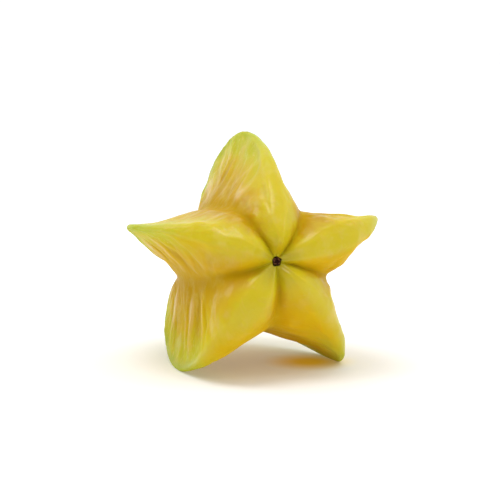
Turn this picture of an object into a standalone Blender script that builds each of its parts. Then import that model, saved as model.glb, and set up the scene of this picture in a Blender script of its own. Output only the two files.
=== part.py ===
"""Star fruit (carambola), whole and uncut, lying on two of its five ribs.

The fruit is modelled round its own axis, which runs along Y with the stalk end at -Y, as a stack of
star-shaped rings from the stalk end to the blossom end. It is then tipped and rolled into the attitude in
which it comes to rest, cut flat where its two lower ribs touch the table, and set down on Z = 0 with the
middle of its box at X = Y = 0. The dry stub of the stalk stands in the pit at the stalk end.
"""

import math
from collections import namedtuple

import bmesh
import bpy
import numpy as np
from mathutils import Matrix, Vector

# Driving dimensions, in metres.
REACH = 0.0385  # axis to the edge of an average rib, at the fruit's widest place
STALK_HALF = 0.912 * REACH  # widest place to the stalk end, along the axis
BLOSSOM_HALF = 1.30 * REACH  # widest place to the blossom end
DIMPLE = 0.137  # how far the valleys and the poles sit in from the ribs' ends, as a share of each half
DIMPLE_RIM = 0.12  # how soon the ribs rise out of it, as a share of the reach

# The outline of a rib, seen from its side, is a superellipse in each half: (rise, run) exponents.
STALK_ARCH = (0.951, 1.196)
BLOSSOM_ARCH = (1.30, 1.102)

# What changes from the fruit's middle to its ends is given as (at the middle, at the end).
LATE = 3.0  # how late towards each end the change comes
VALLEY_TO_STALK = (0.494, 0.858)  # distance of a valley from the axis over the reach of the ribs beside it
VALLEY_TO_BLOSSOM = (0.494, 0.451)
LEAVE = (-18.2, 8.1)  # degrees from the rib's own direction at which a flank leaves the valley
LEAVE_PULL = (0.184, 0.287)  # how far it keeps that direction, over the height of the rib
TAPER = (2.9, 56.1)  # degrees at which a flank closes in on the rounded edge
TAPER_PULL = (0.348, 0.263)
EDGE_RADIUS = (0.024, 0.30)  # radius of the rounded edge over the rib's reach
NARROWEST_CREASE = math.radians(2)  # between a flank and the middle of its valley
FADE = 0.12  # share of the reach about which a fuller rib fades back to the average, towards the ends

Rib = namedtuple("Rib", "name bearing reach lean twist shift stalk_fuller blossom_fuller")
# bearing: degrees round the axis from +X towards +Z. reach: against REACH. lean: degrees that the blade
# bends sideways. twist: degrees that it leans more towards the stalk end and less towards the blossom end.
# shift: how far its widest place lies towards the blossom end, against REACH. fuller: how much rounder
# than the average its outline is in either half.
RIBS = (
    Rib("right", 15.7, 0.998, -1.0, 13.2, -0.314, 0.236, -0.006),
    Rib("top", 84.4, 1.004, 0.6, -11.4, 0.114, -0.154, -0.377),
    Rib("left", 154.5, 0.894, 12.5, 4.8, 0.095, -0.009, -0.021),
    Rib("lower_left", 235.3, 0.971, 2.4, 1.5, -0.017, 0.426, 0.082),
    Rib("lower_right", 313.6, 1.111, -0.7, -3.9, 0.014, -0.165, -0.251),
)

# Attitude at rest: the fruit is heavier towards the blossom end, so the stalk end rides up.
STALK_END_UP = math.radians(7.2)
PRESSED_FLAT = 0.00030  # how deep the edges of the two ribs that it lies on are flattened
LEVELLING_TURNS = 4  # rolls until both of them reach equally low
BLOSSOM_POINT = 0.0002  # how far the middle of the blossom end stands out

# The pit where the stalk grew.
PIT_RADIUS = 0.00150
PIT_DEPTH = 0.0020
PIT_WALL = ((0.95, 0.22), (0.90, 0.60), (0.72, 0.88), (0.36, 0.99))  # (width, depth) against the mouth's
PIT_MARGIN = 1.2  # the first full ring stands this many pit radii away

# The dry stub of the stalk, a short five-lobed cup in the pit.
STUB_CLEARANCE = 0.00035  # to the wall and the floor of the pit
STUB_PROUD = 0.0002  # how far it stands out of the pit
STUB_LOBES = 5
STUB_LOBE_STEPS = 4  # faces round each lobe
# From its foot to its broken top: radius against its widest, height against its top, strength of the lobes.
STUB_PROFILE = (
    (0.30, 0.0, 0.0),
    (0.52, 0.25, 0.0),
    (0.66, 0.55, 0.04),
    (0.80, 0.90, 0.10),
    (0.74, 1.0, 0.12),
    (0.50, 0.91, 0.05),
    (0.22, 0.82, 0.0),
)
STUB_HOLLOW = 0.78  # height of the middle of its broken top

# Mesh density.
STATIONS = 36  # rings from the stalk end to the blossom end
FLANK_STEPS = 6  # faces from a valley to the shoulder of a rib's edge
EDGE_STEPS = 2  # faces round half of the rib's rounded edge
CROWDING = 0.35  # how much closer together the rings are at both ends
OUTLINE_STEPS = 800  # steps in which the length of a rib's outline is measured
FRUIT_SMOOTH = math.radians(60)  # faces that meet at less than this are shaded as one surface
STUB_SMOOTH = math.radians(40)


def blend(middle, end, share):
    return middle + (end - middle) * share


def heading(angle):
    return Vector((math.cos(angle), math.sin(angle)))


def arch(station):
    """(radius, place along the axis) of an average rib's edge. Station 0 is the stalk, pi the blossom."""
    along = math.cos(station)
    half, (rise, run) = (STALK_HALF, STALK_ARCH) if along > 0 else (BLOSSOM_HALF, BLOSSOM_ARCH)
    return REACH * abs(math.sin(station)) ** rise, -half * math.copysign(abs(along) ** run, along)


def stations():
    """The stations of the rings, evenly spaced along the rib's edge and closer together at both ends."""
    fine = [math.pi * i / OUTLINE_STEPS for i in range(OUTLINE_STEPS + 1)]
    points = np.array([arch(station) for station in fine])
    steps = np.hypot(*np.diff(points, axis=0).T)
    travelled = np.concatenate([[0.0], np.cumsum(steps)]) / steps.sum()
    even = np.arange(1, STATIONS) / STATIONS
    crowded = even - CROWDING * np.sin(2 * math.pi * even) / (2 * math.pi)
    return [float(station) for station in np.interp(crowded, travelled, fine)]


def half_section(edge, valley, half_gap, towards_end):
    """One flank as (out along the rib, across it) points, from the valley to the middle of the edge."""
    leave = min(math.radians(blend(*LEAVE, towards_end)), half_gap - NARROWEST_CREASE)
    taper = math.radians(blend(*TAPER, towards_end))
    radius = edge * blend(*EDGE_RADIUS, towards_end)
    centre = Vector((edge - radius, 0.0))

    start = valley * heading(half_gap)
    shoulder = centre + radius * heading(math.pi / 2 - taper)
    first = start + blend(*LEAVE_PULL, towards_end) * (edge - start.x) * heading(leave)
    before = shoulder - blend(*TAPER_PULL, towards_end) * (shoulder.x - start.x) * heading(-taper)
    points = []
    for step in range(FLANK_STEPS + 1):
        q = step / FLANK_STEPS
        p = 1 - q
        points.append(p**3 * start + 3 * q * p**2 * first + 3 * q**2 * p * before + q**3 * shoulder)
    for step in range(1, EDGE_STEPS + 1):
        points.append(centre + radius * heading((math.pi / 2 - taper) * (1 - step / EDGE_STEPS)))
    return points


def flank(rib, neighbour, side, station):
    """The points of one flank in space, from the valley to the rib's edge, on the rib's side 1 or -1."""
    average_radius, place = arch(station)
    towards_end = abs(math.cos(station)) ** LATE
    middling = math.sin(station)
    if station < math.pi / 2:
        depth, fuller = VALLEY_TO_STALK, rib.stalk_fuller
    else:
        depth, fuller = VALLEY_TO_BLOSSOM, rib.blossom_fuller
    share = average_radius / REACH
    edge = REACH * rib.reach * share ** (1 - fuller * share**2 / (share**2 + FADE**2))
    valley = blend(*depth, towards_end) * average_radius * (rib.reach + neighbour.reach) / 2
    half_gap = math.radians((neighbour.bearing - rib.bearing) * side % 360) / 2
    section = half_section(edge, valley, half_gap, towards_end)

    foot = section[0].x
    risen = 1 - math.exp(-((middling / DIMPLE_RIM) ** 2))
    rib_place = place * (1 - DIMPLE * (1 - risen)) + rib.shift * REACH * middling**2
    valley_place = place * (1 - DIMPLE)
    bearing = math.radians(rib.bearing)
    slope = math.tan(math.radians(rib.lean + rib.twist * math.cos(station))) * middling**2
    points = []
    for p in section:
        height = min(max((p.x - foot) / (edge - foot), 0.0), 1.0)
        out, across = p.x, p.y * side + slope * max(p.x - valley, 0.0)
        x = out * math.cos(bearing) - across * math.sin(bearing)
        z = out * math.sin(bearing) + across * math.cos(bearing)
        points.append(Vector((x, blend(valley_place, rib_place, math.sin(height * math.pi / 2)), z)))
    return points


def star_ring(station):
    """One closed ring of points round the fruit."""
    ring = []
    for i, rib in enumerate(RIBS):
        before, after = RIBS[i - 1], RIBS[(i + 1) % len(RIBS)]
        ring += flank(rib, before, -1, station)[:-1]
        ring += flank(rib, after, 1, station)[:0:-1]
    return ring


def pit_rings(mouth):
    """Smaller copies of the ring at the pit's mouth, going down into the pit."""
    centre = sum(mouth, Vector()) / len(mouth)
    for width, depth in PIT_WALL:
        yield [centre + (p - centre) * width + Vector((0.0, depth * PIT_DEPTH, 0.0)) for p in mouth]


def skin(rings, first_pole, last_pole):
    """A closed bmesh through the rings, with a fan of triangles to a pole at each end."""
    bm = bmesh.new()
    loops = [[bm.verts.new(p) for p in ring] for ring in rings]
    count = len(loops[0])
    for here, there in zip(loops, loops[1:]):
        for i in range(count):
            j = (i + 1) % count
            bm.faces.new((here[i], here[j], there[j], there[i]))
    for loop, pole in ((loops[0], first_pole), (loops[-1], last_pole)):
        tip = bm.verts.new(pole)
        for i in range(count):
            bm.faces.new((loop[i], loop[(i + 1) % count], tip))
    bmesh.ops.recalc_face_normals(bm, faces=bm.faces)
    return bm


def make_fruit_mesh():
    """The fruit's mesh round its own axis, and the middle of its pit's mouth."""
    body = [star_ring(station) for station in stations()]
    mouth_at = math.asin((PIT_RADIUS / REACH) ** (1 / STALK_ARCH[0]))
    mouth = star_ring(mouth_at)
    middle = sum(mouth, Vector()) / len(mouth)
    body = [ring for ring in body if min((p - middle).xz.length for p in ring) > PIT_MARGIN * PIT_RADIUS]
    pit = list(pit_rings(mouth))
    end = body[-1]
    blossom_pole = sum(end, Vector()) / len(end) + Vector((0.0, BLOSSOM_POINT, 0.0))
    rings = pit[::-1] + [mouth] + body
    return skin(rings, middle + Vector((0.0, PIT_DEPTH, 0.0)), blossom_pole), middle


def lowest_points(bm):
    """The lowest points at -X and at +X, where the two lower ribs touch the table."""
    return [min((v.co for v in bm.verts if v.co.x * side > 0), key=lambda co: co.z) for side in (-1, 1)]


def roll_level(bm):
    """Rolls the fruit about Y until both of its lower ribs reach equally low. Returns the turn made."""
    turned = Matrix.Identity(4)
    for _ in range(LEVELLING_TURNS):
        left, right = lowest_points(bm)
        roll = Matrix.Rotation(math.atan2(right.z - left.z, right.x - left.x), 4, "Y")
        bmesh.ops.transform(bm, matrix=roll, verts=bm.verts)
        turned = roll @ turned
    return turned


def press_flat(bm):
    """Cuts the lowest PRESSED_FLAT off, which leaves a small flat on each of the two lower ribs."""
    cut_at = Vector((0.0, 0.0, max(co.z for co in lowest_points(bm)) + PRESSED_FLAT))
    everything = bm.verts[:] + bm.edges[:] + bm.faces[:]
    bmesh.ops.bisect_plane(bm, geom=everything, plane_co=cut_at, plane_no=(0.0, 0.0, 1.0), clear_inner=True)
    bmesh.ops.holes_fill(bm, edges=[edge for edge in bm.edges if edge.is_boundary])
    bmesh.ops.recalc_face_normals(bm, faces=bm.faces)


def set_down(bm):
    """Stands the fruit on Z = 0 with the middle of its box at X = Y = 0. Returns the move made."""
    low = Vector([min(v.co[axis] for v in bm.verts) for axis in range(3)])
    high = Vector([max(v.co[axis] for v in bm.verts) for axis in range(3)])
    move = Matrix.Translation((-(low.x + high.x) / 2, -(low.y + high.y) / 2, -low.z))
    bmesh.ops.transform(bm, matrix=move, verts=bm.verts)
    return move


def make_stub_mesh():
    """The dry stalk stub, standing up along -Y with the pit's floor at the origin."""
    foot = STUB_CLEARANCE
    top = PIT_DEPTH + STUB_PROUD
    widest = PIT_RADIUS - STUB_CLEARANCE
    count = STUB_LOBES * STUB_LOBE_STEPS
    rings = []
    for width, rise, lobing in STUB_PROFILE:
        height = max(rise * top, foot)
        ring = []
        for i in range(count):
            turn = 2 * math.pi * i / count
            r = width * widest * (1 + lobing * math.cos(STUB_LOBES * turn))
            ring.append(Vector((r * math.cos(turn), -height, r * math.sin(turn))))
        rings.append(ring)
    return skin(rings, Vector((0.0, -foot, 0.0)), Vector((0.0, -STUB_HOLLOW * top, 0.0)))


def material(name, colour, roughness):
    made = bpy.data.materials.new(name)
    made.use_nodes = True
    shader = made.node_tree.nodes["Principled BSDF"]
    shader.inputs["Base Color"].default_value = (*colour, 1.0)
    shader.inputs["Roughness"].default_value = roughness
    shader.inputs["Metallic"].default_value = 0.0
    return made


def add_object(name, bm, surface, parent, smooth_within):
    mesh = bpy.data.meshes.new(name)
    bm.to_mesh(mesh)
    bm.free()
    mesh.shade_smooth()
    mesh.set_sharp_from_angle(angle=smooth_within)
    mesh.materials.append(surface)
    obj = bpy.data.objects.new(name, mesh)
    obj.parent = parent
    bpy.context.scene.collection.objects.link(obj)
    return obj


def main():
    for obj in list(bpy.data.objects):
        bpy.data.objects.remove(obj)

    stand = bpy.data.objects.new("star_fruit", None)
    bpy.context.scene.collection.objects.link(stand)

    fruit, pit_mouth = make_fruit_mesh()
    tipped = Matrix.Rotation(-STALK_END_UP, 4, "X")
    bmesh.ops.transform(fruit, matrix=tipped, verts=fruit.verts)
    tipped = roll_level(fruit) @ tipped
    press_flat(fruit)
    placed = set_down(fruit) @ tipped
    golden_skin = material("golden_skin", (0.80, 0.62, 0.09), 0.32)
    add_object("fruit", fruit, golden_skin, stand, FRUIT_SMOOTH)

    dry_stalk = material("dry_stalk", (0.10, 0.03, 0.015), 0.85)
    stub = add_object("stalk_stub", make_stub_mesh(), dry_stalk, stand, STUB_SMOOTH)
    stub.matrix_local = placed @ Matrix.Translation(pit_mouth + Vector((0.0, PIT_DEPTH, 0.0)))


main()
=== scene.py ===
import itertools
import math

import bpy
import numpy as np
from mathutils import Matrix, Vector


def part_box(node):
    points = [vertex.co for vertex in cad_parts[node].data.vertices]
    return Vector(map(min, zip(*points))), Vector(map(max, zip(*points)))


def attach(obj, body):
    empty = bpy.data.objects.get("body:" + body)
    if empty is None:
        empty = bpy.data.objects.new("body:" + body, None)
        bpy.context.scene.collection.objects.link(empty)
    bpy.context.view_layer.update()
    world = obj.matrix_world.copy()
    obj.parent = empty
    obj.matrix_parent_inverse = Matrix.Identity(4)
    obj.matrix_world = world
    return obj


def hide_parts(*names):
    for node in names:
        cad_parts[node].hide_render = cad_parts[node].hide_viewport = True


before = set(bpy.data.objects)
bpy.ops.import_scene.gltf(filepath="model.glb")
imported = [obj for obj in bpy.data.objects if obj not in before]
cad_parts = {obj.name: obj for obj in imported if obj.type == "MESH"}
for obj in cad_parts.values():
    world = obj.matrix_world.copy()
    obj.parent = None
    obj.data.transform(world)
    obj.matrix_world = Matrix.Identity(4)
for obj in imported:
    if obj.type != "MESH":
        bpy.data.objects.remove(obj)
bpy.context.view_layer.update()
print("frame loaded:", sorted(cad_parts))


# Small helpers for meshes and for node trees

def deselectAll():
    if bpy.context.mode != "OBJECT":
        bpy.ops.object.mode_set(mode="OBJECT")
    bpy.ops.object.select_all(action="DESELECT")


def smooth(low, high, x):
    t = np.clip((x - low) / (high - low), 0.0, 1.0)
    return t * t * (3.0 - 2.0 * t)


def mix(pair, share):
    return pair[0] + (pair[1] - pair[0]) * share


def within(span, x):
    # 1 over the middle of a span, given as where it comes in and where it goes out
    return smooth(*span[0], x) * (1 - smooth(*span[1], x))


def heading(angle):
    # unit vectors (out, across) for angles in radians
    return np.stack([np.cos(angle), np.sin(angle)], -1)


def getPlaces(mesh):
    places = np.empty(len(mesh.vertices) * 3, np.float32)
    mesh.vertices.foreach_get("co", places)
    return places.reshape(-1, 3).astype(float)


def setPlaces(mesh, places):
    mesh.vertices.foreach_set("co", places.astype(np.float32).ravel())
    mesh.update()


def getNormals(mesh):
    normals = np.empty(len(mesh.vertices) * 3, np.float32)
    mesh.vertices.foreach_get("normal", normals)
    return normals.reshape(-1, 3).astype(float)


def storeValues(mesh, name, values):
    isVector = values.ndim == 2
    layer = mesh.attributes.new(name, "FLOAT_VECTOR" if isVector else "FLOAT", "POINT")
    layer.data.foreach_set("vector" if isVector else "value", values.astype(np.float32).ravel())


lattice = {
    "finer": 2.1,  # each octave's lattice against the one before
    "weaker": 0.55,
    "apart": 17.3,  # keeps the octaves' lattices from lining up
    "gain": 1.6,
    "primes": (73856093, 19349663, 83492791),
}

noiseSlopes = np.random.default_rng(5).normal(size=(4096, 3))
noiseSlopes /= np.linalg.norm(noiseSlopes, axis=1, keepdims=True)


def noiseAt(points, octaves=1):
    # smooth noise between about -1 and 1 for each point, from random slopes on a lattice
    total = np.zeros(len(points))
    for octave in range(octaves):
        spot = points * lattice["finer"] ** octave + lattice["apart"] * octave
        cell = np.floor(spot).astype(int)
        part = spot - cell
        ease = part**3 * (part * (part * 6 - 15) + 10)
        for corner in itertools.product((0, 1), repeat=3):
            scrambled = (cell + corner) * lattice["primes"]
            pick = (scrambled[:, 0] ^ scrambled[:, 1] ^ scrambled[:, 2]) % len(noiseSlopes)
            rise = ((part - corner) * noiseSlopes[pick]).sum(1)
            share = np.where(corner, ease, 1 - ease).prod(1)
            total += lattice["gain"] * rise * share * lattice["weaker"] ** octave
    return total


def addNode(tree, kind, values=None, **settings):
    made = tree.nodes.new(kind)
    for key, value in settings.items():
        setattr(made, key, value)
    for key, value in (values or {}).items():
        if isinstance(value, bpy.types.NodeSocket):
            tree.links.new(value, made.inputs[key])
        else:
            made.inputs[key].default_value = value
    return made


def attribute(tree, name):
    return addNode(tree, "ShaderNodeAttribute", attribute_name=name)


def rampUp(tree, value, low, high, toLow=0.0, toHigh=1.0):
    # a smooth step of a value, which may also run from high to low, as one socket
    made = addNode(tree, "ShaderNodeMapRange", {0: value, 1: low, 2: high, 3: toLow, 4: toHigh},
                   interpolation_type="SMOOTHSTEP", clamp=True)
    return made.outputs[0]


def calculate(tree, operation, *values):
    made = addNode(tree, "ShaderNodeMath", dict(enumerate(values)), operation=operation)
    return made.outputs[0]


def mixColour(tree, share, under, over):
    made = addNode(tree, "ShaderNodeMix", {0: share, 6: under, 7: over}, data_type="RGBA")
    return made.outputs[2]


def noiseNode(tree, vector, scale, detail=2.0, roughness=0.5, distortion=0.0):
    made = addNode(tree, "ShaderNodeTexNoise", {"Vector": vector, "Scale": scale, "Detail": detail,
                                                "Roughness": roughness, "Distortion": distortion})
    return made.outputs["Fac"]


def bumpNode(tree, strength, distance, height):
    return addNode(tree, "ShaderNodeBump", {"Strength": strength, "Distance": distance, "Height": height})


def stretched(tree, vector, scale):
    return addNode(tree, "ShaderNodeMapping", {"Vector": vector, "Scale": scale}).outputs["Vector"]


def newMaterial(name):
    made = bpy.data.materials.new(name)
    made.use_nodes = True
    tree = made.node_tree
    tree.nodes.clear()
    shader = addNode(tree, "ShaderNodeBsdfPrincipled")
    addNode(tree, "ShaderNodeOutputMaterial", {"Surface": shader.outputs["BSDF"]})
    return made, tree, shader


# The fruit's form. Lengths are in metres, and pairs are (at the middle, at the end) of the fruit

fruit = {
    "reach": 0.0385,  # axis to the edge of an average rib, and the unit of the shares below
    "stalkHalf": 0.912,  # widest place to the stalk end, in reaches
    "blossomHalf": 1.30,  # widest place to the blossom end
    "dimple": 0.137,  # how far valleys and poles sit in from the ribs' ends
    "dimpleRim": 0.12,  # how soon the ribs rise out of it
    "stalkArch": (0.951, 1.196),  # superellipse exponents of a rib's outline
    "blossomArch": (1.30, 1.102),
    "late": 3.0,  # how late the change from middle to end comes
    "valleyToStalk": (0.494, 0.858),  # depth of a valley against the ribs
    "valleyToBlossom": (0.494, 0.451),
    "leave": (-18.2, 8.1),  # degrees at which a flank leaves its valley
    "leavePull": (0.184, 0.287),
    "taper": (2.9, 56.1),  # degrees at which a flank closes on the edge
    "taperPull": (0.348, 0.263),
    "edgeRadius": (0.024, 0.30),
    "narrowestCrease": math.radians(2),
    "fade": 0.12,  # where a fuller rib fades back to the average
    "tip": math.radians(7.2),  # how far the stalk end rides up
    "pressed": 0.0003,  # depth of the two flats that it lies on
    "pitRadius": 0.0015,
    "pitDepth": 0.0020,
    # the pit's wall from its mouth to its bottom: share of the mouth's width, share of the depth
    "pitWall": ((1.0, 0.0), (0.975, 0.07), (0.95, 0.22), (0.90, 0.60), (0.72, 0.88), (0.36, 0.99),
                (0.0, 1.0)),
    # softly rounded valleys: share of a flank that is rounded and how hard, how much of each is lost further
    # from the stalk, and between which stations
    "rounded": 0.42,
    "roundedLess": 0.26,
    "roundedFade": (0.3, 1.2),
    "rounding": 0.5,
    "roundingLess": 0.65,
    "roundingFade": (0.4, 1.2),
    "roundingPasses": 18,
    "segments": 240,  # faces round the fruit, a multiple of 20
    "rows": 401,  # rings of points between the two poles, an odd number
    "pitRows": 14,
    "crowding": 0.25,  # how much closer the rings are towards both ends
    "outlineSteps": 4001,
    "edgeShare": 0.25,  # share of a flank's faces that lie round the rib's edge
    "layingTurns": 6,
    "sharpFrom": math.radians(50),  # edges sharper than this aren't shaded smooth
}

# Each rib: bearing in degrees round the axis, reach, lean in degrees and how much more it leans towards the
# stalk, shift towards the blossom end, how much fuller than the average towards (stalk, blossom), and how
# rippled and how dull its two flanks are
ribs = [
    # right
    {"bearing": 15.7, "reach": 0.998, "lean": -1.0, "twist": 13.2, "shift": -0.314,
     "fuller": (0.236, -0.006), "ripple": (0.80, 0.75), "dull": (0.4, 0.5)},
    # top
    {"bearing": 84.4, "reach": 1.004, "lean": 0.6, "twist": -11.4, "shift": 0.114,
     "fuller": (-0.154, -0.377), "ripple": (0.5, 1.0), "dull": (0.4, 0.28)},
    # left
    {"bearing": 154.5, "reach": 0.894, "lean": 12.5, "twist": 4.8, "shift": 0.095,
     "fuller": (-0.009, -0.021), "ripple": (0.20, 0.6), "dull": (0.2, 0.34)},
    # lower left
    {"bearing": 235.3, "reach": 0.971, "lean": 2.4, "twist": 1.5, "shift": -0.017,
     "fuller": (0.426, 0.082), "ripple": (1.0, 0.4), "dull": (0.8, 0.4)},
    # lower right
    {"bearing": 313.6, "reach": 1.111, "lean": -0.7, "twist": -3.9, "shift": 0.014,
     "fuller": (-0.165, -0.251), "ripple": (0.35, 0.9), "dull": (0.4, 0.6)},
]

flankSteps = fruit["segments"] // (2 * len(ribs))

# What is laid over the even form. A station runs from 0 at the stalk end to pi at the blossom end, and a
# flank's height from 0 in the valley to 1 at the edge
skinRelief = {
    "ripple": 0.00070,  # height of the ripples that run from valley to edge
    "rippleSpacing": 0.0044,
    "rippleLength": 0.012,
    "fineShare": 0.16,  # finer ripples on top of them
    "fineSpacing": 0.0014,
    "wander": 0.0036,  # how far a ripple strays from its straight way
    "wanderSize": 0.0075,
    "patchSize": 0.013,
    "patches": (0.7, 1.1, 0.15, 1.3),  # strength of the patches of ripples: mean, swing, least and most
    "rippledStations": ((0.5, 1.0), (2.5, 2.95)),
    "rippledFrom": (0.08, 0.34),  # up the flank
    "rippledTo": (0.0010, 0.0090),  # from the edge
    "valleyDull": 0.6,  # how dull the skin is in the valleys and underneath
    "valleyDullTo": (0.05, 0.40),
    "underDull": 0.6,
    "dullTo": (0.0004, 0.0060),  # from the edge
    "underFrom": (0.0, 0.8),  # how far the skin faces down
    "dent": 0.00060,  # soft uneven swelling of the flanks
    "dentSize": 0.0085,
    "dentedFrom": (0.0, 0.25),
    "dentedTo": (0.0, 0.004),
    "edgeWear": 0.00025,  # unevenness of the thin edges
    "edgeWearSize": 0.005,
    "edgeWearWidth": 0.002,
    "wornStations": ((0.15, 0.6), (2.7, 3.05)),
    "offFloor": (0.0005, 0.0025),  # the relief fades out just over the floor
    "fineOffset": 3.0,  # these keep the patterns apart
    "patchOffset": 7.0,
    "dentOffset": 3.0,
    "wearOffset": 11.0,
    "unrolled": 0.035,  # radius of the tube on which the surface is laid out for its patterns
}

skinValues = ["toEdge", "toValley", "station", "layout", "inPit", "toStalk", "toBlossom", "ripples", "dull",
              "under"]


def ribArch(station):
    # an average rib's outline: distance from the axis and place along it
    along = np.cos(station)
    toStalk = along > 0
    half = np.where(toStalk, fruit["stalkHalf"], fruit["blossomHalf"]) * fruit["reach"]
    rise = np.where(toStalk, fruit["stalkArch"][0], fruit["blossomArch"][0])
    run = np.where(toStalk, fruit["stalkArch"][1], fruit["blossomArch"][1])
    return fruit["reach"] * np.abs(np.sin(station)) ** rise, -half * np.sign(along) * np.abs(along) ** run


def outlineLength(station):
    # way travelled along a rib's outline from the stalk end, with the whole table of it
    fine = np.linspace(0.0, math.pi, fruit["outlineSteps"])
    out, along = ribArch(fine)
    travelled = np.concatenate([[0.0], np.cumsum(np.hypot(np.diff(out), np.diff(along)))])
    return np.interp(station, fine, travelled), travelled, fine


def bodyStations(count):
    # the rings' stations, from the mouth of the pit to the blossom end
    mouthAt = math.asin((fruit["pitRadius"] / fruit["reach"]) ** (1 / fruit["stalkArch"][0]))
    start, travelled, fine = outlineLength(mouthAt)
    even = np.arange(count) / count
    crowded = even - fruit["crowding"] * np.sin(2 * math.pi * even) / (2 * math.pi)
    return np.interp(start + (travelled[-1] - start) * crowded, travelled, fine)


def flankSection(edge, valley, halfGap, towardsEnd):
    # one flank for every station, from the valley to the middle of the edge, as (out, across)
    leave = np.minimum(np.radians(mix(fruit["leave"], towardsEnd)), halfGap - fruit["narrowestCrease"])
    taper = np.radians(mix(fruit["taper"], towardsEnd))
    radius = edge * mix(fruit["edgeRadius"], towardsEnd)
    centre = np.stack([edge - radius, np.zeros_like(edge)], -1)
    start = valley[:, None] * heading(np.full_like(edge, halfGap))
    shoulder = centre + radius[:, None] * heading(math.pi / 2 - taper)
    leavePull = mix(fruit["leavePull"], towardsEnd) * (edge - start[:, 0])
    taperPull = mix(fruit["taperPull"], towardsEnd) * (shoulder[:, 0] - start[:, 0])
    first = start + leavePull[:, None] * heading(leave)
    before = shoulder - taperPull[:, None] * heading(-taper)

    # a curve up the flank, then an arc round the edge
    edgeSteps = round(flankSteps * fruit["edgeShare"])
    q = np.linspace(0.0, 1.0, flankSteps - edgeSteps + 1)[None, :, None]
    p = 1 - q
    curve = p**3 * start[:, None] + 3 * q * p**2 * first[:, None]
    curve = curve + 3 * q**2 * p * before[:, None] + q**3 * shoulder[:, None]
    turn = (math.pi / 2 - taper)[:, None] * (1 - np.arange(1, edgeSteps + 1) / edgeSteps)[None, :]
    arc = centre[:, None] + radius[:, None, None] * heading(turn)
    return np.concatenate([curve, arc], 1)


def flankPoints(index, side, station):
    # one flank in space for every station, on the side of the rib before (-1) or after (1)
    rib = ribs[index]
    other = ribs[(index + side) % len(ribs)]
    average, place = ribArch(station)
    towardsEnd = np.abs(np.cos(station)) ** fruit["late"]
    middling = np.sin(station)
    toStalk = station < math.pi / 2
    share = average / fruit["reach"]
    fuller = np.where(toStalk, rib["fuller"][0], rib["fuller"][1])
    power = 1 - fuller * share**2 / (share**2 + fruit["fade"] ** 2)
    edge = fruit["reach"] * rib["reach"] * share**power
    depths = mix(fruit["valleyToStalk"], towardsEnd), mix(fruit["valleyToBlossom"], towardsEnd)
    valley = np.where(toStalk, *depths) * average * (rib["reach"] + other["reach"]) / 2
    halfGap = math.radians((other["bearing"] - rib["bearing"]) * side % 360) / 2
    section = flankSection(edge, valley, halfGap, towardsEnd)

    foot = section[:, :1, 0]
    height = np.clip((section[..., 0] - foot) / (edge[:, None] - foot), 0.0, 1.0)
    slope = np.tan(np.radians(rib["lean"] + rib["twist"] * np.cos(station))) * middling**2
    across = section[..., 1] * side + slope[:, None] * np.maximum(section[..., 0] - valley[:, None], 0.0)
    risen = 1 - np.exp(-((middling / fruit["dimpleRim"]) ** 2))
    ribPlace = place * (1 - fruit["dimple"] * (1 - risen)) + rib["shift"] * fruit["reach"] * middling**2
    valleyPlace = place * (1 - fruit["dimple"])
    along = valleyPlace[:, None] + (ribPlace - valleyPlace)[:, None] * np.sin(height * math.pi / 2)
    bearing = math.radians(rib["bearing"])
    x = section[..., 0] * math.cos(bearing) - across * math.sin(bearing)
    z = section[..., 0] * math.sin(bearing) + across * math.cos(bearing)
    return np.stack([x, along, z], -1)


def bodyRings(station):
    # all rings of the body, valley to edge to valley, rib after rib
    # turn counts the flanks: whole even numbers are edges and whole odd ones are valleys
    rings, turns, ripples, dulls = [], [], [], []
    way = np.arange(flankSteps) / flankSteps
    for index, rib in enumerate(ribs):
        rising = flankPoints(index, -1, station)[:, :-1]
        falling = flankPoints(index, 1, station)[:, :0:-1]
        rings += [rising, falling]
        turns += [2 * index - 1 + way, 2 * index + way]
        ripples += [np.full(flankSteps, share) for share in rib["ripple"]]
        dulls += [np.full(flankSteps, share) for share in rib["dull"]]
    return np.concatenate(rings, 1), np.concatenate(turns), np.concatenate(ripples), np.concatenate(dulls)


def roundValleys(rings, turn, station):
    # the bottom of a valley is softly rounded, most of all by the stalk
    upFlank = np.abs(turn % 2 - 1)[None, :]
    rounded = (fruit["rounded"] - fruit["roundedLess"] * smooth(*fruit["roundedFade"], station))[:, None]
    kept = (1 - fruit["roundingLess"] * smooth(*fruit["roundingFade"], station))[:, None]
    weight = fruit["rounding"] * (1 - smooth(0.0, 1.0, upFlank / rounded)) * kept
    for _ in range(fruit["roundingPasses"]):
        around = (np.roll(rings, 1, 1) + np.roll(rings, -1, 1)) / 2
        rings = rings + (around - rings) * weight[..., None]
    return rings


def addPit(rings):
    # the pit for the stalk: smaller copies of its mouth, going down
    middle = rings[0].mean(0)
    width, depth = np.array(fruit["pitWall"]).T
    way = np.concatenate([[0.0], np.cumsum(np.hypot(np.diff(width), np.diff(depth)))])
    rows = np.linspace(way[-1], 0.0, fruit["pitRows"] + 2)[1:-1]
    pit = middle + (rings[0] - middle)[None] * np.interp(rows, way, width)[:, None, None]
    pit[..., 1] += np.interp(rows, way, depth)[:, None] * fruit["pitDepth"]
    return np.concatenate([pit, rings]), middle


def layDown(places):
    # the turn that tips the fruit and brings both lower ribs equally low
    turned = Matrix.Rotation(-fruit["tip"], 3, "X")
    for _ in range(fruit["layingTurns"]):
        now = places @ np.array(turned).T
        low = [now[now[:, 0] * side > 0] for side in (-1, 1)]
        left, right = [half[half[:, 2].argmin()] for half in low]
        turned = Matrix.Rotation(math.atan2(right[2] - left[2], right[0] - left[0]), 3, "Y") @ turned
    return turned


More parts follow.
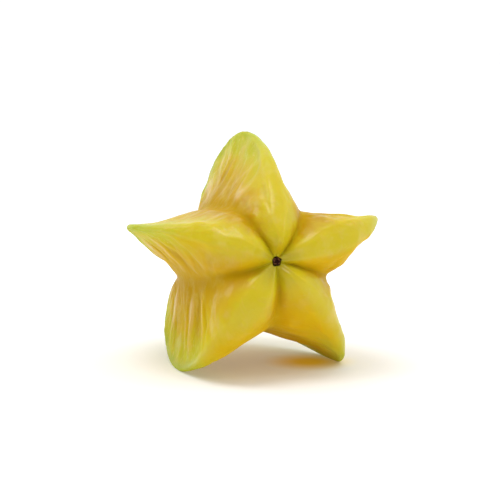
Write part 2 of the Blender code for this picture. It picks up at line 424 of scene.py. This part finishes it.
def fruitMesh():
    deselectAll()
    bpy.ops.mesh.primitive_uv_sphere_add(segments=fruit["segments"] // 2, ring_count=(fruit["rows"] + 1) // 2)
    piece = bpy.context.object
    piece.name = "starFruit"
    bpy.ops.object.mode_set(mode="EDIT")
    bpy.ops.mesh.select_all(action="SELECT")
    bpy.ops.mesh.subdivide(number_cuts=1)
    bpy.ops.object.mode_set(mode="OBJECT")
    mesh = piece.data
    ball = getPlaces(mesh)
    ball /= np.linalg.norm(ball, axis=1, keepdims=True)
    # the ball's rows and columns, counted from its top and round it
    row = np.rint(np.arccos(np.clip(ball[:, 2], -1, 1)) / math.pi * (fruit["rows"] + 1)).astype(int)
    column = np.rint(np.arctan2(ball[:, 1], ball[:, 0]) / (2 * math.pi) * fruit["segments"]).astype(int)
    column %= fruit["segments"]

    bodyStation = bodyStations(fruit["rows"] - fruit["pitRows"])
    rings, turn, ripple, dull = bodyRings(bodyStation)
    rings = roundValleys(rings, turn, bodyStation)
    rings, mouth = addPit(rings)
    blossomTip = rings[-1].mean(0)
    station = np.concatenate([np.full(fruit["pitRows"], bodyStation[0]), bodyStation])

    grid = np.zeros((fruit["rows"] + 2, fruit["segments"], 3))
    grid[0] = mouth + np.array([0.0, fruit["pitDepth"], 0.0])
    grid[-1] = blossomTip
    grid[1:-1] = rings
    station = np.concatenate([[station[0]], station, [math.pi]])
    places = grid[row, column]
    print("fruit: rings made,", len(places), "points")

    # way over the skin to the nearest rib edge, round each ring
    steps = np.linalg.norm(np.roll(grid, -1, 1) - grid, axis=-1)
    travelled = np.cumsum(steps, 1) - steps
    edges = travelled[:, flankSteps :: 2 * flankSteps]
    total = steps.sum(1, keepdims=True)
    gap = np.abs(travelled[:, :, None] - edges[:, None, :])
    toEdge = np.minimum(gap, total[:, :, None] - gap).min(2)

    pointTurn = turn[column]
    pointStation = station[row]
    onTube = heading(pointTurn * (math.pi / len(ribs))) * skinRelief["unrolled"]
    layout = np.column_stack([onTube, outlineLength(pointStation)[0]])
    values = {
        "toEdge": toEdge[row, column],
        "toValley": np.abs(pointTurn % 2 - 1),
        "station": pointStation,
        "layout": layout,
        "inPit": (row <= fruit["pitRows"]).astype(float),
        "toStalk": np.linalg.norm(places - grid[fruit["pitRows"] + 1].mean(0), axis=1),
        "toBlossom": np.linalg.norm(places - blossomTip, axis=1),
        "ripple": ripple[column],
        "dull": dull[column],
    }
    return piece, places, values, mouth


def ripplesOf(layout):
    # long ripples that stray a little, with finer ones on top
    spacing = np.array([skinRelief["rippleLength"]] * 2 + [skinRelief["rippleSpacing"]])
    strayed = layout.copy()
    strayed[:, 2] += noiseAt(layout / skinRelief["wanderSize"]) * skinRelief["wander"]
    ripples = noiseAt(strayed / spacing)
    spacing[2] = skinRelief["fineSpacing"]
    return ripples + noiseAt(strayed / spacing + skinRelief["fineOffset"]) * skinRelief["fineShare"]


def relief(values):
    # height of the skin over its even form, and for the colours the ripples and how dull they are
    layout, station, toEdge, toValley = [values[name] for name in ("layout", "station", "toEdge", "toValley")]
    mean, swing, least, most = skinRelief["patches"]
    patches = np.clip(mean + swing * noiseAt(layout / skinRelief["patchSize"] + skinRelief["patchOffset"]),
                      least, most)
    alongFruit = within(skinRelief["rippledStations"], station)
    upFlank = smooth(*skinRelief["rippledFrom"], toValley) * smooth(*skinRelief["rippledTo"], toEdge)
    ripples = ripplesOf(layout) * alongFruit * values["ripple"] * upFlank * patches

    dull = values["dull"] * alongFruit
    dull = np.maximum(dull, skinRelief["valleyDull"] * (1 - smooth(*skinRelief["valleyDullTo"], toValley)))
    dull *= smooth(*skinRelief["dullTo"], toEdge)
    dull = np.maximum(dull, skinRelief["underDull"] * values["under"])

    ends = within(skinRelief["wornStations"], station)
    dents = noiseAt(layout / skinRelief["dentSize"] + skinRelief["dentOffset"], 2) * skinRelief["dent"] * ends
    dents *= smooth(*skinRelief["dentedFrom"], toValley) * smooth(*skinRelief["dentedTo"], toEdge)
    wear = -np.abs(noiseAt(layout / skinRelief["edgeWearSize"] + skinRelief["wearOffset"], 2))
    wear = wear * skinRelief["edgeWear"]
    wear *= np.exp(-((toEdge / skinRelief["edgeWearWidth"]) ** 2)) * ends
    return ripples * skinRelief["ripple"] + dents + wear, ripples, dull


def makeFruit():
    piece, places, values, mouth = fruitMesh()
    mesh = piece.data
    turned = layDown(places)
    lying = places @ np.array(turned).T
    lowest, highest = lying.min(0), lying.max(0)
    lowest[2] += fruit["pressed"]
    low, high = (np.array(corner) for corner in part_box("fruit"))
    shrink = np.minimum((high - low) / (highest - lowest), 1.0)
    lying = (lying - (lowest + highest) / 2) * shrink + (low + high) / 2
    setPlaces(mesh, lying)
    print("fruit: laid down, box", (lying.max(0) - lying.min(0)).round(5), "of", (high - low).round(5))

    values["under"] = smooth(*skinRelief["underFrom"], -getNormals(mesh)[:, 2])
    height, values["ripples"], values["dull"] = relief(values)
    height *= smooth(*skinRelief["offFloor"], lying[:, 2] - low[2])
    # inside the solid's box, but for what is cut off below the floor
    setPlaces(mesh, np.clip(lying + getNormals(mesh) * height[:, None], low - [0, 0, 1], high))
    for name in skinValues:
        storeValues(mesh, name, values[name])

    # the two flats that it lies on
    bpy.ops.object.mode_set(mode="EDIT")
    bpy.ops.mesh.select_all(action="SELECT")
    bpy.ops.mesh.bisect(plane_co=(0.0, 0.0, low[2]), plane_no=(0.0, 0.0, 1.0), threshold=1e-6,
                        clear_inner=True, use_fill=True)
    bpy.ops.mesh.select_all(action="DESELECT")
    bpy.ops.object.mode_set(mode="OBJECT")
    bpy.ops.object.shade_smooth_by_angle(angle=fruit["sharpFrom"])

    shift = (low + high) / 2 - ((lowest + highest) / 2) * shrink
    mouth = Vector((np.array(turned) @ mouth) * shrink + shift)
    print("fruit: relief and flats done")
    return piece, mouth, turned


starFruit, pitMouth, turned = makeFruit()


# The skin: gold, with amber painted shade in the valleys, lemon crests, lime tips and green far edges

skinLook = {
    # amber: painted shade low in the valleys
    "amberValleyShade": (0.49, 0.275, 0.003, 1),
    # crease: painted shade deep in the valleys
    "creaseShade": (0.45, 0.28, 0.001, 1),
    # ripe: painted shade on the skin that faces down
    "undersideShade": (0.63, 0.375, 0.004, 1),
    "gold": (0.61, 0.428, 0.006, 1),
    "lemon": (0.60, 0.48, 0.010, 1),
    "green": (0.37, 0.43, 0.018, 1),
    "tipGreen": (0.50, 0.50, 0.030, 1),
    "stalkGreen": (0.37, 0.30, 0.002, 1),
    # pale: painted sheen on the backs of the ripples and on some fibres
    "paleSheen": (0.70, 0.455, 0.090, 1),
    "fleck": (0.74, 0.62, 0.20, 1),
    # umber: painted shade in the hollows between the ripples
    "umberHollowShade": (0.38, 0.21, 0.004, 1),
    "brown": (0.07, 0.025, 0.010, 1),
    "undersideShadeShare": 0.75,  # how much painted shade deepens the skin that faces down
    "roughness": (0.37, 0.54),
    "subsurface": 0.50,
    "subsurfaceDepth": 0.0035,
    "coat": 0.55,  # wax on smooth skin, on dull skin and, on top, on the backs of the ripples
    "dullCoat": 0.02,
    "backCoat": 0.42,
    "edgeDulled": 0.55,  # share of the wax that the far edges lack
    "coatRoughness": 0.25,
    "coatIor": 1.5,
    "skinIor": 1.06,  # low, so that all the gloss is the coat's
    "fleshTint": (1.0, 0.55, 0.12),
    "unevenBump": (0.45, 0.0009),  # strength and depth
    "fineBump": (0.35, 0.00018),
    "fineInBump": 0.35,
    # painted shade in the pit at the stalk
    "pitShade": 0.7,
    # how far the patterns shift the borders between tones
    "waver": {"gold": 0.5, "lemon": 0.014, "line": 0.004, "lineFibres": 0.0012, "stalkEnd": 0.006},
}

# Patterns, on object coordinates or on the laid-out skin, which stretches them round the ribs
skinPatterns = {
    "cloud": {"scale": 70.0, "detail": 3.0, "roughness": 0.55},
    "blotch": {"scale": 190.0, "detail": 3.0, "roughness": 0.6},
    "fibres": {"scale": 1.0, "detail": 3.0, "roughness": 0.6, "distortion": 0.4},
    "speckle": {"scale": 1.0, "detail": 2.0, "roughness": 0.6, "distortion": 0.8},
    "fine": {"scale": 1.0, "detail": 2.0, "roughness": 0.55},
}
patternStretch = {
    "fibres": (110.0, 110.0, 1000.0),
    "speckle": (700.0, 700.0, 1500.0),
    "fine": (300.0, 300.0, 2600.0),
}

# Where each tone comes in and is full, and its share there where that isn't 0 to 1
skinSteps = {
    # gold: where the painted shade in the valleys gives way to gold up the flank
    "gold": (0.04, 0.74),
    "lemon": (0.0095, 0.0015),
    "mottling": (0.48, 0.72, 0.0, 0.20),
    # painted shade in the ripples' hollows, painted sheen on their backs and on pale fibres
    "shadedHollows": (0.0, -0.45, 0.0, 0.45),
    "sheenBacks": (0.0, 0.40, 0.0, 0.55),
    "sheenFibres": (0.55, 0.80, 0.0, 0.20),
    "tips": (0.65, 1.20),
    "tipBand": (0.0140, 0.0020, 0.0, 0.85),
    "flecks": (0.54, 0.70, 0.0, 0.45),
    "fleckedStations": (0.85, 1.35),
    "fleckedBand": (0.016, 0.006),
    "thinnerLine": (1.45, 2.2, 0.0, 0.0016),
    "line": (0.0064, 0.0030, 0.0, 0.85),
    "lineStations": (0.90, 1.45),
    # painted shade deep in the valleys
    "creaseShade": (0.32, 0.02, 0.0, 0.34),
    "stalkEnd": (0.013, 0.004, 0.0, 0.62),
    "scar": (0.0016, 0.0009),
    "dull": (0.02, 0.60),
    "shinyBacks": (0.10, 0.40),
    "farStations": (1.05, 1.60),
    "farEdge": (0.0060, 0.0010),
    "grain": (0.3, 0.75),
}


def makeSkin():
    made, tree, shader = newMaterial("ripeWaxySkin")
    objectPlace = addNode(tree, "ShaderNodeTexCoord").outputs["Object"]
    layout = attribute(tree, "layout").outputs["Vector"]
    names = ("toEdge", "toValley", "station", "inPit", "toStalk", "toBlossom", "ripples", "dull", "under")
    toEdge, toValley, station, inPit, toStalk, toBlossom, ripples, dull, under = [
        attribute(tree, name).outputs["Fac"] for name in names]

    def pattern(name):
        stretch = patternStretch.get(name)
        vector = stretched(tree, layout, stretch) if stretch else objectPlace
        return noiseNode(tree, vector, **skinPatterns[name])

    def step(value, name):
        return rampUp(tree, value, *skinSteps[name])

    def times(one, other):
        return calculate(tree, "MULTIPLY", one, other)

    def added(value, weight, base):
        return calculate(tree, "MULTIPLY_ADD", value, weight, base)

    def less(one, other):
        return calculate(tree, "SUBTRACT", one, other)

    def painted(share, below, tone):
        return mixColour(tree, share, below, skinLook[tone])

    cloud, blotch, fibres, speckle, fine = [pattern(name) for name in skinPatterns]
    waver = skinLook["waver"]

    # painted shade: amber low in the valleys, rising to gold up the flank, wavered by the clouds
    rise = added(cloud, waver["gold"], less(toValley, waver["gold"] / 2))
    colour = painted(step(rise, "gold"), skinLook["amberValleyShade"], "gold")
    # lemon band along the crest, wider where the skin is mottled
    bandEdge = added(blotch, waver["lemon"], less(toEdge, waver["lemon"] / 2))
    colour = painted(step(bandEdge, "lemon"), colour, "lemon")
    # pale mottling
    colour = painted(step(blotch, "mottling"), colour, "fleck")
    # painted shade: deeper amber on the skin that faces down
    colour = painted(times(under, skinLook["undersideShadeShare"]), colour, "undersideShade")
    # painted shade in the hollows between the ripples, and painted sheen on their backs and on some fibres
    colour = painted(step(ripples, "shadedHollows"), colour, "umberHollowShade")
    colour = painted(step(ripples, "sheenBacks"), colour, "paleSheen")
    colour = painted(step(fibres, "sheenFibres"), colour, "paleSheen")
    # greener where the ribs reach far out
    colour = painted(times(step(station, "tips"), step(bandEdge, "tipBand")), colour, "tipGreen")
    # fine pale flecks towards the tips
    flecked = times(step(station, "fleckedStations"), step(toEdge, "fleckedBand"))
    colour = painted(times(step(speckle, "flecks"), flecked), colour, "fleck")
    # a wavy green line on the edge, behind the tips
    wavyEdge = less(added(blotch, waver["line"], toEdge), step(station, "thinnerLine"))
    lineEdge = added(fibres, waver["lineFibres"], wavyEdge)
    colour = painted(times(step(lineEdge, "line"), step(station, "lineStations")), colour, "green")
    # painted shade: deep amber right down in the valleys
    colour = painted(step(toValley, "creaseShade"), colour, "creaseShade")
    # olive round the stalk
    colour = painted(step(added(cloud, waver["stalkEnd"], toStalk), "stalkEnd"), colour, "stalkGreen")
    # dry brown scar at the blossom end, and painted shade that darkens the pit at the stalk with the same
    # brown
    colour = painted(step(toBlossom, "scar"), colour, "brown")
    colour = painted(times(inPit, skinLook["pitShade"]), colour, "brown")

    # the wax shines where the skin is smooth and on the backs of the ripples, and is dull between them
    waxed = rampUp(tree, dull, *skinSteps["dull"], skinLook["coat"], skinLook["dullCoat"])
    waxedBacks = rampUp(tree, ripples, *skinSteps["shinyBacks"], 0.0, skinLook["backCoat"])
    shine = calculate(tree, "ADD", waxed, waxedBacks)
    edgeDulled = rampUp(tree, toEdge, *skinSteps["farEdge"], 0.0, skinLook["edgeDulled"])
    shine = times(shine, less(1.0, times(step(station, "farStations"), edgeDulled)))
    smoother, rougher = skinLook["roughness"]
    roughness = rampUp(tree, fine, *skinSteps["grain"], smoother, rougher)
    uneven = bumpNode(tree, *skinLook["unevenBump"], blotch)
    bump = bumpNode(tree, *skinLook["fineBump"], added(fine, skinLook["fineInBump"], fibres))

    tree.links.new(uneven.outputs["Normal"], bump.inputs["Normal"])
    tree.links.new(colour, shader.inputs["Base Color"])
    tree.links.new(roughness, shader.inputs["Roughness"])
    tree.links.new(shine, shader.inputs["Coat Weight"])
    tree.links.new(bump.outputs["Normal"], shader.inputs["Normal"])
    shader.inputs["IOR"].default_value = skinLook["skinIor"]
    shader.inputs["Subsurface Weight"].default_value = skinLook["subsurface"]
    shader.inputs["Subsurface Scale"].default_value = skinLook["subsurfaceDepth"]
    shader.inputs["Subsurface Radius"].default_value = skinLook["fleshTint"]
    shader.inputs["Coat Roughness"].default_value = skinLook["coatRoughness"]
    shader.inputs["Coat IOR"].default_value = skinLook["coatIor"]
    return made


starFruit.data.materials.append(makeSkin())
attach(starFruit, "root")
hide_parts("fruit")
print("fruit: skin done")


# The dry stub of the stalk, a short woody cup with five lobes

stub = {
    "radius": 0.00096,
    "height": 0.0016,
    "top": 0.00010,  # above the mouth of the pit
    "sides": 60,
    "cuts": 3,
    "bark": 0.00026,
    "hollow": 0.00035,
    # steps of the broken top, from the rim inwards: share of the bark in, share of the hollow up
    "insets": ((0.5, 0.0), (0.5, 0.0), (0.4, -1.0), (0.6, 0.0), (0.4, 0.6)),
    # what follows is in shares of the radius and of the height, up to the torn top
    "foot": 0.74,
    "flare": 0.30,
    "flaredTo": (0.1, 1.0),
    "lobes": 5,
    "lobing": 0.16,
    "lobedFrom": (0.1, 0.9),
    "fibre": 0.14,
    "fibreGrain": (9.0, 0.9),  # how fine round the stub and down it
    "uneven": 0.16,
    "unevenGrain": (1.4, 0.5),
    "torn": 0.00045,  # in metres
    "tornGrain": (3.1, 2.0),  # how fine round the stub and inwards
    "tornFrom": (0.62, 1.0),
    "sharpFrom": math.radians(35),
}


def selectFaces(mesh, isMeant):
    bpy.ops.object.mode_set(mode="EDIT")
    bpy.ops.mesh.select_mode(type="FACE")
    bpy.ops.mesh.select_all(action="DESELECT")
    bpy.ops.object.mode_set(mode="OBJECT")
    for face in mesh.polygons:
        face.select = isMeant(face)
    bpy.ops.object.mode_set(mode="EDIT")


def makeStub(mouth, turned):
    deselectAll()
    middle = stub["top"] - stub["height"] / 2
    bpy.ops.mesh.primitive_cylinder_add(vertices=stub["sides"], radius=stub["radius"], depth=stub["height"],
                                        location=(0.0, 0.0, middle), end_fill_type="NGON")
    piece = bpy.context.object
    piece.name = "stalkStub"
    bpy.ops.object.transform_apply(location=True, rotation=False, scale=False)
    # the broken top: a raised ring of bark, a sunken pith and a stump of fibres in it
    selectFaces(piece.data, lambda face: face.normal.z > 0.9)
    for inwards, upwards in stub["insets"]:
        bpy.ops.mesh.inset(thickness=stub["bark"] * inwards, depth=stub["hollow"] * upwards)
    bpy.ops.mesh.poke()
    selectFaces(piece.data, lambda face: face.normal.z < -0.9)
    bpy.ops.mesh.poke()
    bpy.ops.mesh.select_all(action="SELECT")
    bpy.ops.mesh.subdivide(number_cuts=stub["cuts"])
    bpy.ops.object.mode_set(mode="OBJECT")

    mesh = piece.data
    places = getPlaces(mesh)
    outwards = np.hypot(places[:, 0], places[:, 1]) / stub["radius"]
    around = heading(np.arctan2(places[:, 1], places[:, 0]))
    up = (places[:, 2] - stub["top"]) / stub["height"] + 1
    lobes = np.cos(stub["lobes"] * np.arctan2(places[:, 1], places[:, 0])) * stub["lobing"]
    lobes *= smooth(*stub["lobedFrom"], up)
    fibres = noiseAt(np.column_stack([around * stub["fibreGrain"][0], up * stub["fibreGrain"][1]]), 2)
    uneven = noiseAt(np.column_stack([around * stub["unevenGrain"][0], up * stub["unevenGrain"][1]]) + 2.0)
    torn = noiseAt(np.column_stack([around * stub["tornGrain"][0], outwards * stub["tornGrain"][1]]) + 5.0, 3)
    flare = stub["foot"] + stub["flare"] * smooth(*stub["flaredTo"], up)
    places[:, :2] *= (flare + lobes + stub["fibre"] * fibres + stub["uneven"] * uneven)[:, None]
    places[:, 2] += smooth(*stub["tornFrom"], up) * torn * stub["torn"]
    setPlaces(mesh, places)
    storeValues(mesh, "outwards", outwards)

    # up out of the pit, which faces away from the blossom end
    stand = turned.to_4x4() @ Matrix.Rotation(math.pi / 2, 4, "X")
    mesh.transform(Matrix.Translation(mouth) @ stand)
    bpy.ops.object.shade_smooth_by_angle(angle=stub["sharpFrom"])
    return piece


stubLook = {
    "dark": (0.055, 0.006, 0.002, 1),
    "light": (0.42, 0.20, 0.08, 1),
    "grain": (5200.0, 1500.0, 5200.0),
    "clumps": 1100.0,
    "barkFrom": (0.50, 0.80),  # from the middle outwards
    "barkGrain": (0.34, 0.58),
    "barkClumps": (0.44, 0.56),
    "roughness": (0.2, 0.8, 0.7, 0.95),
    "bump": (0.6, 0.00006),  # strength and depth
}


def makeDryWood():
    made, tree, shader = newMaterial("dryStalkWood")
    objectPlace = addNode(tree, "ShaderNodeTexCoord").outputs["Object"]
    grain = noiseNode(tree, stretched(tree, objectPlace, stubLook["grain"]), 1.0, 4.0, 0.65)
    clumps = noiseNode(tree, objectPlace, stubLook["clumps"], 2.0)
    outwards = attribute(tree, "outwards").outputs["Fac"]
    # dry paler bark in clumps round a dark heart
    bark = calculate(tree, "MULTIPLY", rampUp(tree, outwards, *stubLook["barkFrom"]),
                     rampUp(tree, grain, *stubLook["barkGrain"]))
    bark = calculate(tree, "MULTIPLY", bark, rampUp(tree, clumps, *stubLook["barkClumps"]))
    colour = mixColour(tree, bark, stubLook["dark"], stubLook["light"])
    bump = bumpNode(tree, *stubLook["bump"], grain)
    tree.links.new(colour, shader.inputs["Base Color"])
    tree.links.new(rampUp(tree, grain, *stubLook["roughness"]), shader.inputs["Roughness"])
    tree.links.new(bump.outputs["Normal"], shader.inputs["Normal"])
    return made


stalkStub = makeStub(pitMouth, turned)
stalkStub.data.materials.append(makeDryWood())
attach(stalkStub, "root")
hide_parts("stalk_stub")
print("stub done")


# Studio: a pale floor that brightens away from the fruit, a sky with one bright side, soft boxes, a camera

studio = {
    "floorSize": 12.0,
    "floorColour": (0.82, 0.83, 0.85, 1),
    "floorTint": (0.80, 0.81, 0.83, 1),
    "floorMottling": 40.0,
    "floorRoughness": 0.8,
    # light that the floor adds under the fruit and away from it
    "glowUnder": (0.205, 0.180, 0.145, 1),
    "glowAway": (0.33, 0.335, 0.35, 1),
    "glowFrom": 0.030,
    "glowTo": 0.150,
    # golden light that the fruit throws under its right-hand rib
    "bounceAt": (0.0180, -0.0085, 0.0),
    "bounceReach": 0.016,
    "bounceCore": 0.002,
    "bounceColour": (0.86, 0.62, 0.10, 1),
    "bounceGlow": (0.17, 0.10, 0.002, 1),
    "brightSide": (1.06, 1.06, 1.05, 1),
    "dimSide": (0.40, 0.395, 0.385, 1),
    "brightAzimuth": 130.0,
    "brightElevation": 25.0,
    "brightFrom": (-0.3, 0.55),
    "boxAim": (0.0, 0.0, 0.03),
    # soft boxes: size, power, azimuth, elevation and distance from where they aim
    "boxes": {
        "topBox": (0.42, 2.5, -55.0, 74.0, 0.8),
        "leftBox": (0.28, 0.75, -120.0, 38.0, 0.8),
        "rightBox": (0.14, 0.30, 62.0, 34.0, 0.8),
        "frontBox": (0.90, 1.1, -25.0, 24.0, 1.1),
    },
}

view = {
    "azimuth": -18.34,  # 0 looks along +Y
    "elevation": 7.38,
    "distance": 0.53265,
    "lens": 128.7,
    "aim": (0.0021, -0.0007, 0.0333),
    "sensor": 36.0,
    "nearest": 0.01,
}


def onSphere(azimuth, elevation, distance):
    turn, rise = math.radians(azimuth), math.radians(elevation)
    flat = math.cos(rise)
    return Vector((math.sin(turn) * flat, -math.cos(turn) * flat, math.sin(rise))) * distance


def facing(piece, aim):
    return (aim - piece.location).to_track_quat("-Z", "Y").to_euler()


def makeFloor():
    deselectAll()
    bpy.ops.mesh.primitive_plane_add(size=studio["floorSize"])
    floor = bpy.context.object
    floor.name = "floor"
    made, tree, shader = newMaterial("palePaper")
    place = addNode(tree, "ShaderNodeTexCoord").outputs["Object"]
    mottling = noiseNode(tree, place, studio["floorMottling"])
    tone = mixColour(tree, mottling, studio["floorColour"], studio["floorTint"])
    fromBounce = addNode(tree, "ShaderNodeVectorMath", {0: place, 1: studio["bounceAt"]},
                         operation="DISTANCE")
    bounce = rampUp(tree, fromBounce.outputs["Value"], studio["bounceReach"], studio["bounceCore"])
    tone = mixColour(tree, bounce, tone, studio["bounceColour"])
    away = addNode(tree, "ShaderNodeVectorMath", {0: place}, operation="LENGTH").outputs["Value"]
    share = rampUp(tree, away, studio["glowFrom"], studio["glowTo"])
    glow = mixColour(tree, share, studio["glowUnder"], studio["glowAway"])
    glow = mixColour(tree, bounce, glow, studio["bounceGlow"])
    tree.links.new(tone, shader.inputs["Base Color"])
    tree.links.new(glow, shader.inputs["Emission Color"])
    shader.inputs["Roughness"].default_value = studio["floorRoughness"]
    shader.inputs["Emission Strength"].default_value = 1.0
    floor.data.materials.append(made)


def makeSky():
    world = bpy.data.worlds.new("studioWorld")
    world.use_nodes = True
    tree = world.node_tree
    direction = addNode(tree, "ShaderNodeTexCoord").outputs["Generated"]
    bright = onSphere(studio["brightAzimuth"], studio["brightElevation"], 1.0)
    towards = addNode(tree, "ShaderNodeVectorMath", {0: direction, 1: bright}, operation="DOT_PRODUCT")
    share = rampUp(tree, towards.outputs["Value"], *studio["brightFrom"])
    sky = mixColour(tree, share, studio["dimSide"], studio["brightSide"])
    tree.links.new(sky, tree.nodes["Background"].inputs["Color"])
    bpy.context.scene.world = world


def makeBoxes():
    aim = Vector(studio["boxAim"])
    for name, (size, power, azimuth, elevation, distance) in studio["boxes"].items():
        bpy.ops.object.light_add(type="AREA")
        box = bpy.context.object
        box.name = name
        box.data.shape = "SQUARE"
        box.data.size = size
        box.data.energy = power
        box.location = onSphere(azimuth, elevation, distance) + aim
        box.rotation_euler = facing(box, aim)


def makeCamera():
    bpy.ops.object.camera_add()
    camera = bpy.context.object
    camera.name = "mainCamera"
    aim = Vector(view["aim"])
    camera.location = aim + onSphere(view["azimuth"], view["elevation"], view["distance"])
    camera.rotation_euler = facing(camera, aim)
    camera.data.lens = view["lens"]
    camera.data.sensor_width = view["sensor"]
    camera.data.clip_start = view["nearest"]
    bpy.context.scene.camera = camera


makeFloor()
makeSky()
makeBoxes()
makeCamera()
bpy.context.scene.view_settings.view_transform = "Standard"
print("studio done")
